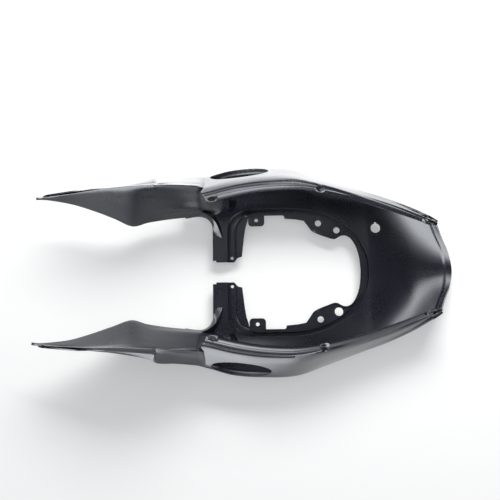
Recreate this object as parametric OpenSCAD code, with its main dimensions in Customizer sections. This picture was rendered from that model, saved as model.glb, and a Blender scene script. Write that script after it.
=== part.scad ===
// Motorcycle tail fairing: one moulded shell, lying upside down with its inner side up.
// X runs from the tips of the side arms to the tail, Y is across, Z is up.

/* [Shell] */
// Wall thickness of the moulding
wall = 3; // [2.5:0.5:4]
// Length from the crossbar's front edge to the middle of the tail rim
body_l = 484; // [460:1:510]
// Reach of the side arms in front of the crossbar
arm_l = 345; // [300:1:400]
// Half width of the tray at the foot of the shoulder
tray_half = 131; // [124:1:138]
// Overhang of the flanks beyond the tray
flank_out = 77; // [66:1:84]
// Height of the turned-in flange above the tray
flange_h = 60; // [50:1:72]
// Overlap of the flange over the flank, inwards from the widest line
flange_w = 54; // [46:1:58]
// Depth of the hump behind the opening
trough_d = 14; // [6:1:20]
// Height of the arms' ridge above the tray
ridge_h = 100; // [86:1:110]

/* [Tray] */
// Width of the bead round the tray
bead_w = 9.5; // [6:0.5:11]
// Depth of the bead under the tray
bead_d = 7; // [4:1:9]
// Distance of the bead from the foot of the shoulder
bead_in = 1; // [0.5:0.5:4]
// Half width of the opening
opening_half = 116; // [108:1:117]
// Width of each crossbar half, along the fairing
crossbar_w = 64; // [58:1:72]
// Gap between the two crossbar halves
crossbar_gap = 42; // [36:1:46]
// Bore in each crossbar end
crossbar_bore = 6; // [4:0.5:8]
// Spacing of the crossbar bores
crossbar_pitch = 58; // [56:1:76]
// Length of each side tab, along the fairing
tab_l = 33; // [28:1:40]
// Width of each side tab, across the fairing
tab_w = 24; // [20:1:28]
// Bore in each side tab
tab_bore = 7.5; // [5:0.5:9]
// Spacing of the side tab bores
tab_pitch = 212; // [210:1:216]

/* [Brackets] */
// Front bore of each bracket plate
bracket_bore = 12.6; // [8:0.2:14]
// Spacing of the front bracket bores
bracket_pitch = 196; // [190:1:200]
// Rear bore of the far bracket plate
rear_bore = 12.6; // [8:0.2:14]
// Rear bore of the near bracket plate, which is wider
rear_bore_wide = 17; // [14:0.5:18]
// Spacing of the rear bracket bores
rear_pitch = 166; // [164:1:170]

/* [Flange and flank] */
// Screw holes in the flange
screw_bore = 6; // [4:0.5:8]
// Length of each oval vent
vent_l = 118; // [90:1:124]
// Width of each oval vent
vent_w = 34; // [24:1:36]
// Bore for the seat lock
lock_bore = 19; // [16:0.5:22]
// Outer diameter of the lock's boss
lock_boss = 31; // [27:1:36]
// Width of the raised rim round the open tail
rim_w = 15; // [8:1:20]
// Height of the raised rim
rim_h = 1.6; // [0.8:0.2:2.4]

/* [Hidden] */

// The arm tips are at x = 0, and the body's own length is measured from the crossbar.
bar_x = arm_l;
tail_l = bar_x + body_l;
wide_half = tray_half + flank_out;
edge_half = wide_half - flange_w;
// How far the flanks end before the middle of the tail.
flank_end = 36;

function mix(a, b, t) = a + (b - a) * t;
function ease(t) = let (c = min(max(t, 0), 1)) c * c * (3 - 2 * c);

// A point of a line of stations, on a smooth curve through them. A station is [x, other values].
function slope(line, i) =
    let (a = line[max(i - 1, 0)], b = line[min(i + 1, len(line) - 1)]) (b - a) / (b[0] - a[0]);
function hermite(a, b, ta, tb, t) =
    (2 * t * t * t - 3 * t * t + 1) * a + (t * t * t - 2 * t * t + t) * ta
    + (3 * t * t - 2 * t * t * t) * b + (t * t * t - t * t) * tb;
function on_line(line, x, i = 0) =
    x > line[i + 1][0] && i < len(line) - 2 ? on_line(line, x, i + 1) :
    let (a = line[i], b = line[i + 1], span = b[0] - a[0], t = min(max((x - a[0]) / span, 0), 1))
    hermite(a, b, slope(line, i) * span, slope(line, i + 1) * span, t);

// The body's lines run from the crossbar to the tail: [share of the length, y, z].
foot_line = [
    [-0.06, tray_half - 13, 0], [0, tray_half - 7, 0], [0.13, tray_half, 0], [0.37, tray_half, 0],
    [0.48, tray_half - 14, 0], [0.565, tray_half - 36, 0], [0.605, tray_half - 54, 0],
    [0.63, tray_half - 76, 0], [0.66, 0, 0], [1, 0, 0]
];
widest_line = [
    [-0.06, wide_half - 24, 27], [0, wide_half - 16, 22], [0.08, wide_half - 5, 18],
    [0.2, wide_half, 18], [0.34, wide_half - 2, 12], [0.46, wide_half - 21, 8],
    [0.59, wide_half - 43, 11], [0.72, wide_half - 65, 16], [0.82, wide_half - 87, 25],
    [0.9, wide_half - 109, 34], [0.95, wide_half - 128, 40], [1.02, wide_half - 160, 45]
];
edge_line = [
    [-0.03, edge_half - 27, flange_h + 3], [0.12, edge_half - 10, flange_h + 2],
    [0.23, edge_half - 2, flange_h], [0.35, edge_half, flange_h - 1],
    [0.47, edge_half - 7, flange_h - 3], [0.58, edge_half - 19, flange_h - 9],
    [0.7, edge_half - 37, flange_h - 14], [0.82, edge_half - 57, flange_h - 16],
    [0.95, edge_half - 81, flange_h - 17]
];
function body_at(line, x) = let (p = on_line(line, (x - bar_x) / body_l)) [p[1], p[2]];

// The floor from the middle to the widest line: flat over the tray, then rising to the flank.
function floor_z(x, y) =
    let (
        foot = max(body_at(foot_line, x)[0], 0),
        out = body_at(widest_line, x),
        low = -trough_d * ease((x - bar_x - 0.64 * body_l) / (0.2 * body_l))
            * (1 - 0.5 * ease((x - bar_x - 0.84 * body_l) / (0.16 * body_l))),
        v = min(max((y - foot) / (out[0] - foot), 0), 1)
    )
    low + (out[1] - 7 - low) * pow(v, 1.7 + 0.5 * ease(((x - bar_x) / body_l - 0.6) / 0.15));

// Half a section of the body, from the middle outwards and then back over the flange.
floor_shares = [0, 0.16, 0.3, 0.42, 0.52, 0.6, 0.66, 0.72, 0.78, 0.84, 0.9, 0.95, 0.98];
function half_section(x) =
    let (
        out = body_at(widest_line, x), edge = body_at(edge_line, x), run = out[0] - edge[0],
        dip = 3.5 * (1 - ease(((x - bar_x) / body_l - 0.3) / 0.35))
    )
    [
        for (k = floor_shares) [k * (out[0] - 1), floor_z(x, k * (out[0] - 1))],
        [out[0], out[1] + 1],
        [out[0] - 0.04 * run, out[1] + 7],
        [out[0] - 0.2 * run, mix(out[1], edge[1], 0.42)],
        [out[0] - 0.42 * run, mix(out[1], edge[1], 0.72)],
        [out[0] - 0.5 * run, mix(out[1], edge[1], 0.81)],
        [edge[0] + 0.37 * run, edge[1] - 4],
        [edge[0] + 0.3 * run, edge[1] - 2.5 - dip],
        [edge[0] + 0.16 * run, edge[1] - 1 - dip],
        [edge[0] + 0.1 * run, edge[1] - 0.5],
        [edge[0], edge[1]]
    ];
half_n = len(floor_shares) + 10;

// The ends aren't square: the flange starts behind the floor in front and ends before it at the tail.
function front_x(k) = bar_x - 30 * ease((k - 0.35) / 0.25) + 20 * ease((k - 0.62) / 0.38);
function rear_x(k) = tail_l - flank_end * ease(k / 0.62);
function section_x(s, k) = mix(front_x(k), rear_x(k), s);

function unit(v) = v / norm(v);
function outward(line, i) =
    let (a = line[max(i - 1, 0)], b = line[min(i + 1, len(line) - 1)], d = unit(b - a)) [d[1], -d[0]];

// A skin between a grid of inner points and the same grid pushed out by the wall: rows x columns.
function skin_faces(rows, cols) =
    let (n = rows * cols)
    [
        for (r = [0:rows - 2], c = [0:cols - 2]) each
            let (a = r * cols + c, b = a + 1, d = a + cols, e = d + 1)
            [[a, b, e], [a, e, d], [n + a, n + e, n + b], [n + a, n + d, n + e]],
        for (c = [0:cols - 2]) each
            let (a = c, b = c + 1, z = (rows - 1) * cols)
            [[a, n + a, n + b], [a, n + b, b], [z + a, z + b, n + z + b], [z + a, n + z + b, n + z + a]],
        for (r = [0:rows - 2]) each
            let (a = r * cols, d = a + cols, z = cols - 1)
            [[a, d, n + d], [a, n + d, n + a], [a + z, n + a + z, n + d + z], [a + z, n + d + z, d + z]]
    ];

body_rows = 29;
rim_rows = 3;
// The last rows form the raised rim, on the inner side only.
function row_share(r) =
    r < body_rows - rim_rows
        ? (1 - rim_w / body_l) * r / (body_rows - rim_rows - 1)
        : 1 - (rim_w - 2.5) / body_l * (body_rows - 1 - r) / (rim_rows - 1);
function body_point(r, k, out) =
    let (
        x = section_x(row_share(r), k / (half_n - 1)),
        line = half_section(x),
        p = line[k],
        n = k == 0 ? [0, -1] : outward(line, k),
        d = out > 0 ? out : r >= body_rows - rim_rows ? -rim_h : 0
    )
    [x, p[0] + n[0] * d, p[1] + n[1] * d];
function both_sides(r, out) = [
    for (k = [half_n - 1:-1:1]) let (p = body_point(r, k, out)) [p[0], -p[1], p[2]],
    for (k = [0:half_n - 1]) body_point(r, k, out)
];
module body_skin() {
    inner = [for (r = [0:body_rows - 1]) each both_sides(r, 0)];
    outer = [for (r = [0:body_rows - 1]) each both_sides(r, wall)];
    polyhedron(points = concat(inner, outer), faces = skin_faces(body_rows, 2 * half_n - 1));
}

// The arms' lines run from the tip to the crossbar: [share of the length, y, z].
arm_edge = [
    [0, 141, 60], [0.07, 140, 54], [0.19, 135, 41], [0.31, 123, 33], [0.43, 108, 24], [0.53, 95, 9],
    [0.62, 103, 5], [0.75, 110, 3], [0.93, 116, 1], [1.1, 122, 0]
];
arm_strip = [
    [0, 141.5, 61], [0.07, 141, 55], [0.19, 136, 43], [0.31, 124, 36], [0.43, 110, 28], [0.53, 98, 16],
    [0.62, 113, 26], [0.75, 119, 30], [0.93, 124, 30], [1.1, 130, 10]
];
arm_ridge = [
    [0, 142.5, 62], [0.07, 146, 63], [0.19, 149, ridge_h - 31], [0.31, 152, ridge_h - 19],
    [0.46, 154, ridge_h - 4], [0.68, 157, ridge_h], [0.84, 160, ridge_h - 16], [1.1, 162, 40]
];
arm_ledge = [
    [0, 143.5, 61], [0.07, 148, 61], [0.19, 151.5, ridge_h - 37], [0.31, 155, ridge_h - 28],
    [0.46, 159, ridge_h - 17], [0.66, 165, ridge_h - 22], [0.685, 166, ridge_h - 21],
    [0.7, 163, ridge_h - 5], [0.84, 170, ridge_h - 27], [1.1, 177, 35]
];
arm_out = [
    [0, 145, 58], [0.12, 150, 65], [0.24, 155, 70], [0.35, 159, 74], [0.46, 163, 77], [0.58, 170, 73],
    [0.66, 177, 68], [0.7, 183, 66], [0.8, 184, 58], [0.93, 188, 40], [1.1, 196, 20]
];
function arm_at(line, x) = let (p = on_line(line, x / arm_l)) [p[1], p[2]];
function arm_section(x) =
    let (
        e = arm_at(arm_edge, x), s = arm_at(arm_strip, x), r = arm_at(arm_ridge, x),
        l = arm_at(arm_ledge, x), o = arm_at(arm_out, x)
    )
    [e, mix(e, s, 0.5), s, mix(s, r, 0.33) + [0, 1], mix(s, r, 0.67) + [0, 1.5], r, mix(r, l, 0.5), l,
     mix(l, o, 0.5) + [0, 0.5], o];
arm_n = 10;
arm_shares = [
    0, 0.09, 0.18, 0.27, 0.36, 0.45, 0.54, 0.61, 0.66, 0.685, 0.7, 0.74, 0.8, 0.86, 0.92, 0.96, 1,
    1.035, 1.07, 1.1
];
arm_rows = len(arm_shares);
arm_back = 34;
// Behind the crossbar's edge the arm's skin dives into the body's floor.
function arm_point(r, k, out) =
    let (
        x = arm_l * arm_shares[r],
        line = arm_section(x),
        p = line[k],
        q = line[k] + outward(line, k) * out,
        sink = ease((x - bar_x + 30) / (arm_back + 24)),
        seat = floor_z(max(x, bar_x - 20), p[0]) - wall * (0.3 + 0.4 * out / wall)
    )
    [x, mix(q[0], p[0], sink), mix(q[1], seat, sink)];
module arm_skin() {
    inner = [for (r = [0:arm_rows - 1], k = [0:arm_n - 1]) arm_point(r, k, 0)];
    outer = [for (r = [0:arm_rows - 1], k = [0:arm_n - 1]) arm_point(r, k, wall)];
    polyhedron(points = concat(inner, outer), faces = skin_faces(arm_rows, arm_n));
}

// Plan outlines, each for the far half and mirrored for the near one.
function closed(half) = [each half, for (i = [len(half) - 1:-1:0]) [half[i][0], -half[i][1]]];
opening_front = bar_x + crossbar_w;
opening_rear = bar_x + 298;
opening_half_outline = [
    [bar_x - 60, crossbar_gap / 2], [opening_front - 17, crossbar_gap / 2],
    [opening_front - 10, crossbar_gap / 2 + 9], [opening_front - 3, crossbar_gap / 2 + 11],
    [opening_front, 74], [opening_front + 4, 94], [opening_front + 12, opening_half],
    [bar_x + 146, opening_half], [bar_x + 148, opening_half - 7], [opening_rear - 109, opening_half - 11],
    [opening_rear - 98, 86], [opening_rear - 93, 80], [opening_rear - 84, 75], [opening_rear - 55, 65],
    [opening_rear - 47, 66], [opening_rear - 35, 71], [opening_rear - 28, 71], [opening_rear - 15, 63],
    [opening_rear - 8, 49], [opening_rear - 2, 25], [opening_rear, 8]
];
module opening() {
    translate([0, 0, -60])
    linear_extrude(120)
    polygon(closed(opening_half_outline));
}

// The bead follows the tray's foot, turns across behind the opening and follows the crossbars in front.
bead_shares = [0.13, 0.25, 0.36, 0.42, 0.48, 0.53, 0.565, 0.59];
bead_rear = 317;
bead_front = 5;
function bead_half(inset) = [
    [bar_x + bead_front + inset, crossbar_gap / 2 + 8],
    [bar_x + bead_front + inset, tray_half - 24 - inset],
    [bar_x + bead_front + 8 + inset, tray_half - 15 - inset],
    [bar_x + 32, tray_half - 4 - inset],
    for (t = bead_shares)
        [bar_x + t * body_l - inset * ease((t - 0.44) / 0.2), body_at(foot_line, bar_x + t * body_l)[0] - inset],
    [bar_x + bead_rear - 10 - inset, 52 - inset / 2],
    [bar_x + bead_rear - 3 - inset, 34],
    [bar_x + bead_rear - inset, 12]
];
module ring(inset, width, low, high) {
    translate([0, 0, low])
    linear_extrude(high - low)
    difference() {
        polygon(closed(bead_half(inset)));
        polygon(closed(bead_half(inset + width)));
    }
}

module through(x, y, d) {
    translate([x, y, -60])
    cylinder(d = d, h = 120, $fn = 48);
}
module pair_through(x, pitch, d) {
    for (side = [-1, 1]) through(x, side * pitch / 2, d);
}

screw_at = [[bar_x + 2, 140], [bar_x + 217, 159], [bar_x + 421, 93]];
module screw_holes() {
    for (p = screw_at, side = [-1, 1])
        translate([p[0], side * p[1], 25])
        cylinder(d = screw_bore, h = 80, $fn = 32);
}

vent_at = bar_x + 56;
vent_lean = 37;
vent_swing = 6;
module vents() {
    side = body_at(widest_line, vent_at);
    for (half = [0, 1])
        mirror([0, half, 0])
        translate([vent_at, side[0] - 14, side[1] + 13])
        rotate([-vent_lean, 0, vent_swing])
        linear_extrude(30, center = true)
        polygon([for (a = [0:12:348]) [vent_l / 2 * cos(a), vent_w / 2 * sin(a)]]);
}

lock_at = [bar_x + 331, 86];
lock_lean = atan((floor_z(lock_at[0], lock_at[1] + 5) - floor_z(lock_at[0], lock_at[1] - 5)) / 10);
lock_rise = 4;
module lock_place() {
    translate([lock_at[0], lock_at[1], floor_z(lock_at[0], lock_at[1])])
    rotate([lock_lean, 0, 0])
    children();
}

module lock_boss_ring() {
    lock_place()
    translate([0, 0, -wall - lock_rise / 2])
    cylinder(d = lock_boss, h = wall + 1.5 * lock_rise, $fn = 48);
}
module lock_hole() {
    lock_place()
    translate([0, 0, -30])
    cylinder(d = lock_bore, h = 60, $fn = 48);
}

tab_at = bar_x + 89;
module tabs() {
    for (side = [-1, 1])
        translate([tab_at, side * (opening_half - tab_w / 2 + 2), -wall / 2])
        cube([tab_l, tab_w, wall - 0.6], center = true);
}

// A rounded web fills each corner between an arm and its crossbar half.
corner_r = 27;
module corner_webs() {
    for (half = [0, 1])
        mirror([0, half, 0])
        translate([bar_x - corner_r, tray_half - 15 - corner_r, -wall + 0.3])
        linear_extrude(wall - 0.6)
        difference() {
            square([corner_r + 2, corner_r + 6]);
            circle(r = corner_r, $fn = 64);
        }
}

bracket_at = opening_rear - 83;
rear_at = opening_rear - 46;
module bracket_holes() {
    pair_through(bracket_at, bracket_pitch, bracket_bore);
    through(rear_at, rear_pitch / 2, rear_bore);
    through(rear_at, -rear_pitch / 2, rear_bore_wide);
}

// The origin is under the middle of the bounding box, at the level of the hump's lowest point.
module tail_fairing() {
    color("#2f3139")
    translate([-tail_l / 2, 0, trough_d + wall])
    difference() {
        union() {
            difference() {
                union() {
                    body_skin();
                    ring(bead_in, bead_w, -bead_d - wall, -0.5);
                }
                ring(bead_in + wall / 2, bead_w - wall, -bead_d, 5);
                opening();
            }
            arm_skin();
            mirror([0, 1, 0]) arm_skin();
            tabs();
            corner_webs();
            lock_boss_ring();
        }
        vents();
        screw_holes();
        bracket_holes();
        lock_hole();
        pair_through(bar_x + 39, crossbar_pitch, crossbar_bore);
        pair_through(tab_at, tab_pitch, tab_bore);
    }
}

tail_fairing();
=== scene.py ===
"""Motorcycle tail fairing: one thin moulded shell, lying upside down on a pale floor.

The lines of the shell are the ones that part.scad lofts, written in millimetres from the tips of the side
arms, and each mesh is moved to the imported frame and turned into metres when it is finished.
"""

import logging
import math
from dataclasses import dataclass, field
from enum import Enum
from typing import Callable, Optional, Sequence, Union

import bmesh
import bpy
from mathutils import Euler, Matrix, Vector

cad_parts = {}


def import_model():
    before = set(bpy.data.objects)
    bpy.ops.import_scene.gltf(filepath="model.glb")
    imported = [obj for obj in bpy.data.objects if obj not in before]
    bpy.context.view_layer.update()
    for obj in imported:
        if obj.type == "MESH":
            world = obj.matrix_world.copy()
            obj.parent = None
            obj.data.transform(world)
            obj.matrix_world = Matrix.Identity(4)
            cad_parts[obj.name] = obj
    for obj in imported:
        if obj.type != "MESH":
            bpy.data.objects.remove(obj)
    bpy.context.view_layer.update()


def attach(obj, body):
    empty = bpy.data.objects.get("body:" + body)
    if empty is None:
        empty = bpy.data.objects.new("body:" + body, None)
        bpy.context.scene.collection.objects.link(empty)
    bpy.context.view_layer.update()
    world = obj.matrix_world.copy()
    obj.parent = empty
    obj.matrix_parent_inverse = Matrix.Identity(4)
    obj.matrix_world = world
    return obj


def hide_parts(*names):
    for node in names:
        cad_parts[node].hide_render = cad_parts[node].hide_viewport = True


log = logging.getLogger("tail_fairing")

MM = 0.001
SHELL_NODE = "tail_fairing"
BODY = "root"
SHARP_ANGLE = math.radians(35)
Value = Union[float, Sequence[float], bpy.types.NodeSocket]
Place = Sequence[float]


def mix(a: float, b: float, t: float) -> float:
    """Return the value at share t between a and b."""
    return a + (b - a) * t


def ease(t: float) -> float:
    """Return a smooth step of t, flat at 0 and at 1."""
    c = min(max(t, 0.0), 1.0)
    return c * c * (3 - 2 * c)


def hermite(t: float) -> tuple[float, float, float, float]:
    """Return the weights of a span's near end, near slope, far end and far slope at share t."""
    return 2 * t**3 - 3 * t**2 + 1, t**3 - 2 * t**2 + t, 3 * t**2 - 2 * t**3, t**3 - t**2


class Zone(Enum):
    """The finishes of the shell, in the order of its material slots."""

    INNER = 0
    GLOSS = 1
    RIM = 2
    FLANGE = 3


@dataclass(frozen=True)
class Line:
    """A smooth line through stations, each of which is a share of a length, then y and z in millimetres."""

    stations: Sequence[Sequence[float]]

    def at(self, share: float) -> Vector:
        """Return the line's y and z.

        Args:
            share: place along the length, 0 at the first end.

        Returns:
            A vector of y and z.
        """
        rows = self.stations
        i = 0
        while share > rows[i + 1][0] and i < len(rows) - 2:
            i += 1
        a, b = rows[i], rows[i + 1]
        span = b[0] - a[0]
        t = min(max((share - a[0]) / span, 0.0), 1.0)
        near, near_way, far, far_way = hermite(t)
        out = []
        for k in (1, 2):
            ta, tb = self._slope(i, k) * span, self._slope(i + 1, k) * span
            out.append(near * a[k] + near_way * ta + far * b[k] + far_way * tb)
        return Vector(out)

    def _slope(self, i: int, k: int) -> float:
        """Return the slope of value k at station i."""
        a = self.stations[max(i - 1, 0)]
        b = self.stations[min(i + 1, len(self.stations) - 1)]
        return (b[k] - a[k]) / (b[0] - a[0])


@dataclass(frozen=True)
class Sizes:
    """The driving sizes of the fairing in millimetres, as in the part's source."""

    wall: float = 3.0
    body_l: float = 484.0
    arm_l: float = 345.0
    tray_half: float = 131.0
    flank_out: float = 77.0
    flange_h: float = 60.0
    flange_w: float = 54.0
    trough_d: float = 14.0
    ridge_h: float = 100.0
    bead_w: float = 9.5
    bead_d: float = 7.0
    bead_in: float = 1.0
    opening_half: float = 116.0
    crossbar_w: float = 64.0
    crossbar_gap: float = 42.0
    crossbar_bore: float = 6.0
    crossbar_pitch: float = 58.0
    tab_l: float = 33.0
    tab_w: float = 24.0
    tab_bore: float = 7.5
    tab_pitch: float = 212.0
    bracket_bore: float = 12.6
    bracket_pitch: float = 196.0
    rear_bore: float = 12.6
    rear_bore_wide: float = 17.0
    rear_pitch: float = 166.0
    screw_bore: float = 6.0
    vent_l: float = 118.0
    vent_w: float = 34.0
    lock_bore: float = 19.0
    lock_boss: float = 31.0
    flank_end: float = 36.0
    rim_w: float = 15.0
    rim_h: float = 1.6
    corner_r: float = 27.0

    @property
    def bar_x(self) -> float:
        """Return the crossbars' front edge."""
        return self.arm_l

    @property
    def tail_l(self) -> float:
        """Return the whole length."""
        return self.arm_l + self.body_l

    @property
    def wide_half(self) -> float:
        """Return the half width at the widest line."""
        return self.tray_half + self.flank_out

    @property
    def edge_half(self) -> float:
        """Return the half width at the flange's edge."""
        return self.wide_half - self.flange_w

    def place(self, p: Vector) -> Vector:
        """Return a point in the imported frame, in metres, for one in millimetres from the arm tips."""
        return Vector((p.x - self.tail_l / 2, p.y, p.z + self.trough_d + self.wall)) * MM


class ShellForm:
    """The surfaces of the shell, worked out from its lines."""

    floor_shares = (0, 0.16, 0.3, 0.42, 0.52, 0.6, 0.66, 0.72, 0.78, 0.84, 0.9, 0.95, 0.98)
    flank_share = 0.62
    floor_low = 7.0
    trough_from = 0.64
    trough_run = 0.2
    shallow_from = 0.84
    shallow_run = 0.16
    steep_power = 1.15
    round_power = 1.05
    round_from = 0.45
    round_run = 0.25
    channel_d = 3.5
    channel_end = 0.3
    channel_run = 0.35
    shoulder_out = 30.0
    edge_back = 20.0
    tip_back = 12.0

    def __init__(self, sizes: Sizes) -> None:
        """Set out the lines of the shell.

        Args:
            sizes: the driving sizes.
        """
        self.s = sizes
        t, w, e = sizes.tray_half, sizes.wide_half, sizes.edge_half
        f, r = sizes.flange_h, sizes.ridge_h
        self.foot = Line((
            (-0.06, t - 13, 0), (0, t - 7, 0), (0.13, t, 0), (0.37, t, 0), (0.48, t - 14, 0),
            (0.565, t - 36, 0), (0.605, t - 54, 0), (0.63, t - 76, 0), (0.66, 0, 0), (1, 0, 0),
        ))
        self.widest = Line((
            (-0.06, w - 24, 27), (0, w - 16, 22), (0.08, w - 5, 18), (0.2, w, 18), (0.34, w - 2, 12),
            (0.46, w - 21, 8), (0.59, w - 43, 11), (0.72, w - 65, 16), (0.82, w - 87, 25),
            (0.9, w - 109, 34), (0.95, w - 128, 40), (1.02, w - 160, 45),
        ))
        self.edge = Line((
            (-0.03, e - 27, f + 3), (0.12, e - 10, f + 2), (0.23, e - 2, f), (0.35, e, f - 1),
            (0.47, e - 7, f - 3), (0.58, e - 19, f - 9), (0.7, e - 37, f - 14), (0.82, e - 57, f - 16),
            (0.95, e - 81, f - 17),
        ))
        self.arm_edge = Line((
            (0, 141, 60), (0.07, 140, 54), (0.19, 135, 41), (0.31, 123, 33), (0.43, 108, 24),
            (0.53, 95, 9), (0.62, 103, 5), (0.75, 110, 3), (0.93, 116, 1), (1.1, 122, 0),
        ))
        self.arm_strip = Line((
            (0, 141.5, 61), (0.07, 141, 55), (0.19, 136, 43), (0.31, 124, 36), (0.43, 110, 28),
            (0.53, 98, 16), (0.62, 113, 26), (0.75, 119, 30), (0.93, 124, 30), (1.1, 130, 10),
        ))
        self.arm_ridge = Line((
            (0, 142.5, 62), (0.07, 146, 63), (0.19, 149, r - 31), (0.31, 152, r - 19), (0.46, 154, r - 4),
            (0.68, 157, r), (0.84, 160, r - 16), (1.1, 162, 40),
        ))
        self.arm_ledge = Line((
            (0, 143.5, 61), (0.07, 148, 61), (0.19, 151.5, r - 37), (0.31, 155, r - 28),
            (0.46, 159, r - 17), (0.66, 165, r - 22), (0.685, 166, r - 21), (0.7, 163, r - 5),
            (0.84, 170, r - 27), (1.1, 177, 35),
        ))
        self.arm_out = Line((
            (0, 145, 58), (0.12, 150, 65), (0.24, 155, 70), (0.35, 159, 74), (0.46, 163, 77),
            (0.58, 170, 73), (0.66, 177, 68), (0.7, 183, 66), (0.8, 184, 58), (0.93, 188, 40), (1.1, 196, 20),
        ))

    def body(self, line: Line, x: float) -> Vector:
        """Return y and z of one of the body's lines at x."""
        return line.at((x - self.s.bar_x) / self.s.body_l)

    def floor_z(self, x: float, y: float) -> float:
        """Return the floor's height, flat over the tray and rising to the flank."""
        s = self.s
        foot = max(self.body(self.foot, x)[0], 0.0)
        out = self.body(self.widest, x)
        share = (x - s.bar_x) / s.body_l
        shallow = 1 - 0.5 * ease((share - self.shallow_from) / self.shallow_run)
        low = -s.trough_d * ease((share - self.trough_from) / self.trough_run) * shallow
        v = min(max((y - foot) / (out[0] - foot), 0.0), 1.0)
        power = self.steep_power + self.round_power * ease((share - self.round_from) / self.round_run)
        return low + (out[1] - self.floor_low - low) * v**power

    def half_section(self, x: float) -> list[Vector]:
        """Return half a section of the body, from the middle outwards and back over the flange."""
        out, edge = self.body(self.widest, x), self.body(self.edge, x)
        run = out[0] - edge[0]
        share = (x - self.s.bar_x) / self.s.body_l
        dip = self.channel_d * (1 - ease((share - self.channel_end) / self.channel_run))
        points = [Vector((k * (out[0] - 1), self.floor_z(x, k * (out[0] - 1)))) for k in self.floor_shares]
        points += [
            Vector((out[0], out[1] + 1)),
            Vector((out[0] - 0.04 * run, out[1] + 7)),
            Vector((out[0] - 0.2 * run, mix(out[1], edge[1], 0.42))),
            Vector((out[0] - 0.42 * run, mix(out[1], edge[1], 0.72))),
            Vector((out[0] - 0.5 * run, mix(out[1], edge[1], 0.81))),
            Vector((edge[0] + 0.37 * run, edge[1] - 4)),
            Vector((edge[0] + 0.3 * run, edge[1] - 2.5 - dip)),
            Vector((edge[0] + 0.16 * run, edge[1] - 1 - dip)),
            Vector((edge[0] + 0.1 * run, edge[1] - 0.5)),
            Vector((edge[0], edge[1])),
        ]
        return points

    def section_x(self, s: float, k: float) -> float:
        """Return x of column share k at length share s: the ends of the body aren't square."""
        sizes = self.s
        front = sizes.bar_x - self.shoulder_out * ease((k - 0.35) / 0.25)
        front += self.edge_back * ease((k - self.flank_share) / (1 - self.flank_share))
        rear = sizes.tail_l - sizes.flank_end * ease(k / self.flank_share)
        rear -= self.tip_back * ease((k - 0.8) / 0.12)
        return mix(front, rear, s)

    def arm_section(self, x: float) -> list[Vector]:
        """Return the section of an arm, from its inner edge over the ridge to the outer edge."""
        share = x / self.s.arm_l
        e, s, r = self.arm_edge.at(share), self.arm_strip.at(share), self.arm_ridge.at(share)
        l, o = self.arm_ledge.at(share), self.arm_out.at(share)
        return [
            e, e.lerp(s, 0.5), s, s.lerp(r, 0.33) + Vector((0, 1)), s.lerp(r, 0.67) + Vector((0, 1.5)),
            r, r.lerp(l, 0.5), l, l.lerp(o, 0.5) + Vector((0, 0.5)), o,
        ]


def tangent(points: Sequence[Vector], j: int) -> Vector:
    """Return the direction of the curve through some points at point j, over one unit of length."""
    a, b = points[max(j - 1, 0)], points[min(j + 1, len(points) - 1)]
    here = points[j]
    return (b - a) / max((b - here).length + (here - a).length, 1e-6)


def on_section(points: Sequence[Vector], place: float) -> Vector:
    """Return a point of the rounded curve through a section's points.

    Args:
        points: the section's points, in order.
        place: index along the section, with its fraction.

    Returns:
        The point there, with as many values as the section's points have.
    """
    i = min(int(place), len(points) - 2)
    near, near_way, far, far_way = hermite(place - i)
    span = (points[i + 1] - points[i]).length
    return (
        points[i] * near + tangent(points, i) * near_way * span
        + points[i + 1] * far + tangent(points, i + 1) * far_way * span
    )


def from_bmesh(name: str, bm: bmesh.types.BMesh) -> bpy.types.Object:
    """Turn a bmesh into a linked object and free it."""
    mesh = bpy.data.meshes.new(name)
    bm.to_mesh(mesh)
    bm.free()
    obj = bpy.data.objects.new(name, mesh)
    bpy.context.collection.objects.link(obj)
    return obj


def sheet(name: str, rows: int, cols: int, point: Callable[[float, float], Vector]) -> bpy.types.Object:
    """Make a sheet from a grid whose vertices are moved to their places.

    Args:
        name: the object's name.
        rows: cells along the fairing.
        cols: cells across it.
        point: gives the place for a share along and a share across, both 0 to 1.

    Returns:
        The sheet, in millimetres.
    """
    bm = bmesh.new()
    bmesh.ops.create_grid(bm, x_segments=rows, y_segments=cols, size=1)
    for v in bm.verts:
        v.co = point((v.co.x + 1) / 2, (v.co.y + 1) / 2)
    return from_bmesh(name, bm)


def apply_modifiers(obj: bpy.types.Object) -> None:
    """Turn an object's modifiers into its mesh."""
    graph = bpy.context.evaluated_depsgraph_get()
    mesh = bpy.data.meshes.new_from_object(obj.evaluated_get(graph), depsgraph=graph)
    old = obj.data
    obj.modifiers.clear()
    obj.data = mesh
    bpy.data.meshes.remove(old)


EXTRA_WALL = 2


def thicken(
    obj: bpy.types.Object,
    wall: float,
    inner: int,
    outer: int,
    extra: Optional[Callable[[Vector], float]] = None,
) -> None:
    """Give a sheet its wall, away from its inner side.

    Args:
        obj: the sheet.
        wall: the wall's thickness in millimetres.
        inner: material slot of the sheet itself.
        outer: how many slots further the outer side is.
        extra: gives what to add to the thickness at a vertex, at most EXTRA_WALL.
    """
    solid = obj.modifiers.new("wall", "SOLIDIFY")
    solid.thickness = wall
    if extra:
        group = obj.vertex_groups.new(name="wall")
        for v in obj.data.vertices:
            group.add([v.index], (wall + extra(v.co)) / (wall + EXTRA_WALL), "REPLACE")
        solid.thickness = wall + EXTRA_WALL
        solid.vertex_group = group.name
    solid.offset = -1
    solid.use_even_offset = False
    solid.use_quality_normals = True
    solid.material_offset = outer
    solid.material_offset_rim = inner
    apply_modifiers(obj)


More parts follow.
